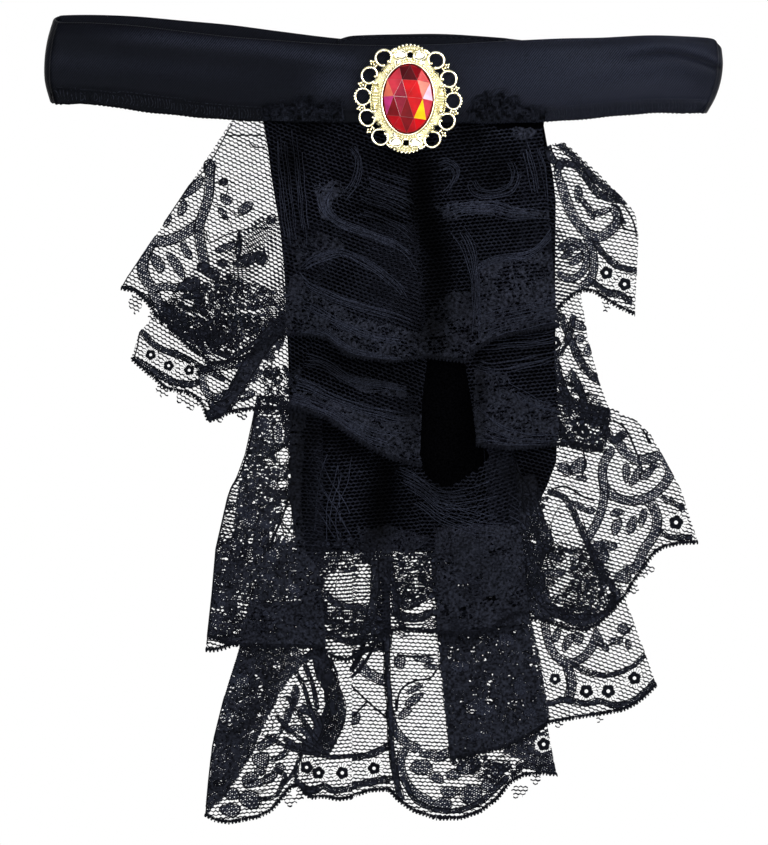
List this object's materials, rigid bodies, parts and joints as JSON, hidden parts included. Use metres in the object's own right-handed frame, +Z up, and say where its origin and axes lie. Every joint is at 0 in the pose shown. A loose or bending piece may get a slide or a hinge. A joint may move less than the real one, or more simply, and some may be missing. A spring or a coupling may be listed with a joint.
{
  "type": "lace jabot",
  "caption": "Costume jabot lying flat: a flattened satin neck band, a cascade of gathered dark lace tiers on a velvet panel, and an oval brooch with a red stone.",
  "frame": {"origin": "middle of the bounding box in plan, on the surface that it lies on", "axes": "+Z up from the surface, +Y from the lace's hem towards the neck band, +X to the right seen from above"},
  "size_m": [0.2474, 0.2954, 0.0191],
  "materials": {
    "velvet": "black velvet, matt",
    "lace": "navy-black embroidered net lace",
    "satin": "black satin with a soft sheen",
    "fastener": "black hook and loop tape",
    "gold": "polished pale gold",
    "stone": "clear faceted red acrylic"
  },
  "bodies": {
    "root": {"back_panel": "velvet", "lace_tier_4": "lace", "lace_tier_3": "lace", "lace_tier_2_left": "lace", "lace_tier_2_right": "lace", "lace_tier_1": "lace", "neck_band": "satin", "touch_fastener": "fastener", "header_frill_left": "lace", "header_frill_right": "lace", "brooch_frame": "gold", "brooch_stone": "stone"}
  },
  "joints": []
}
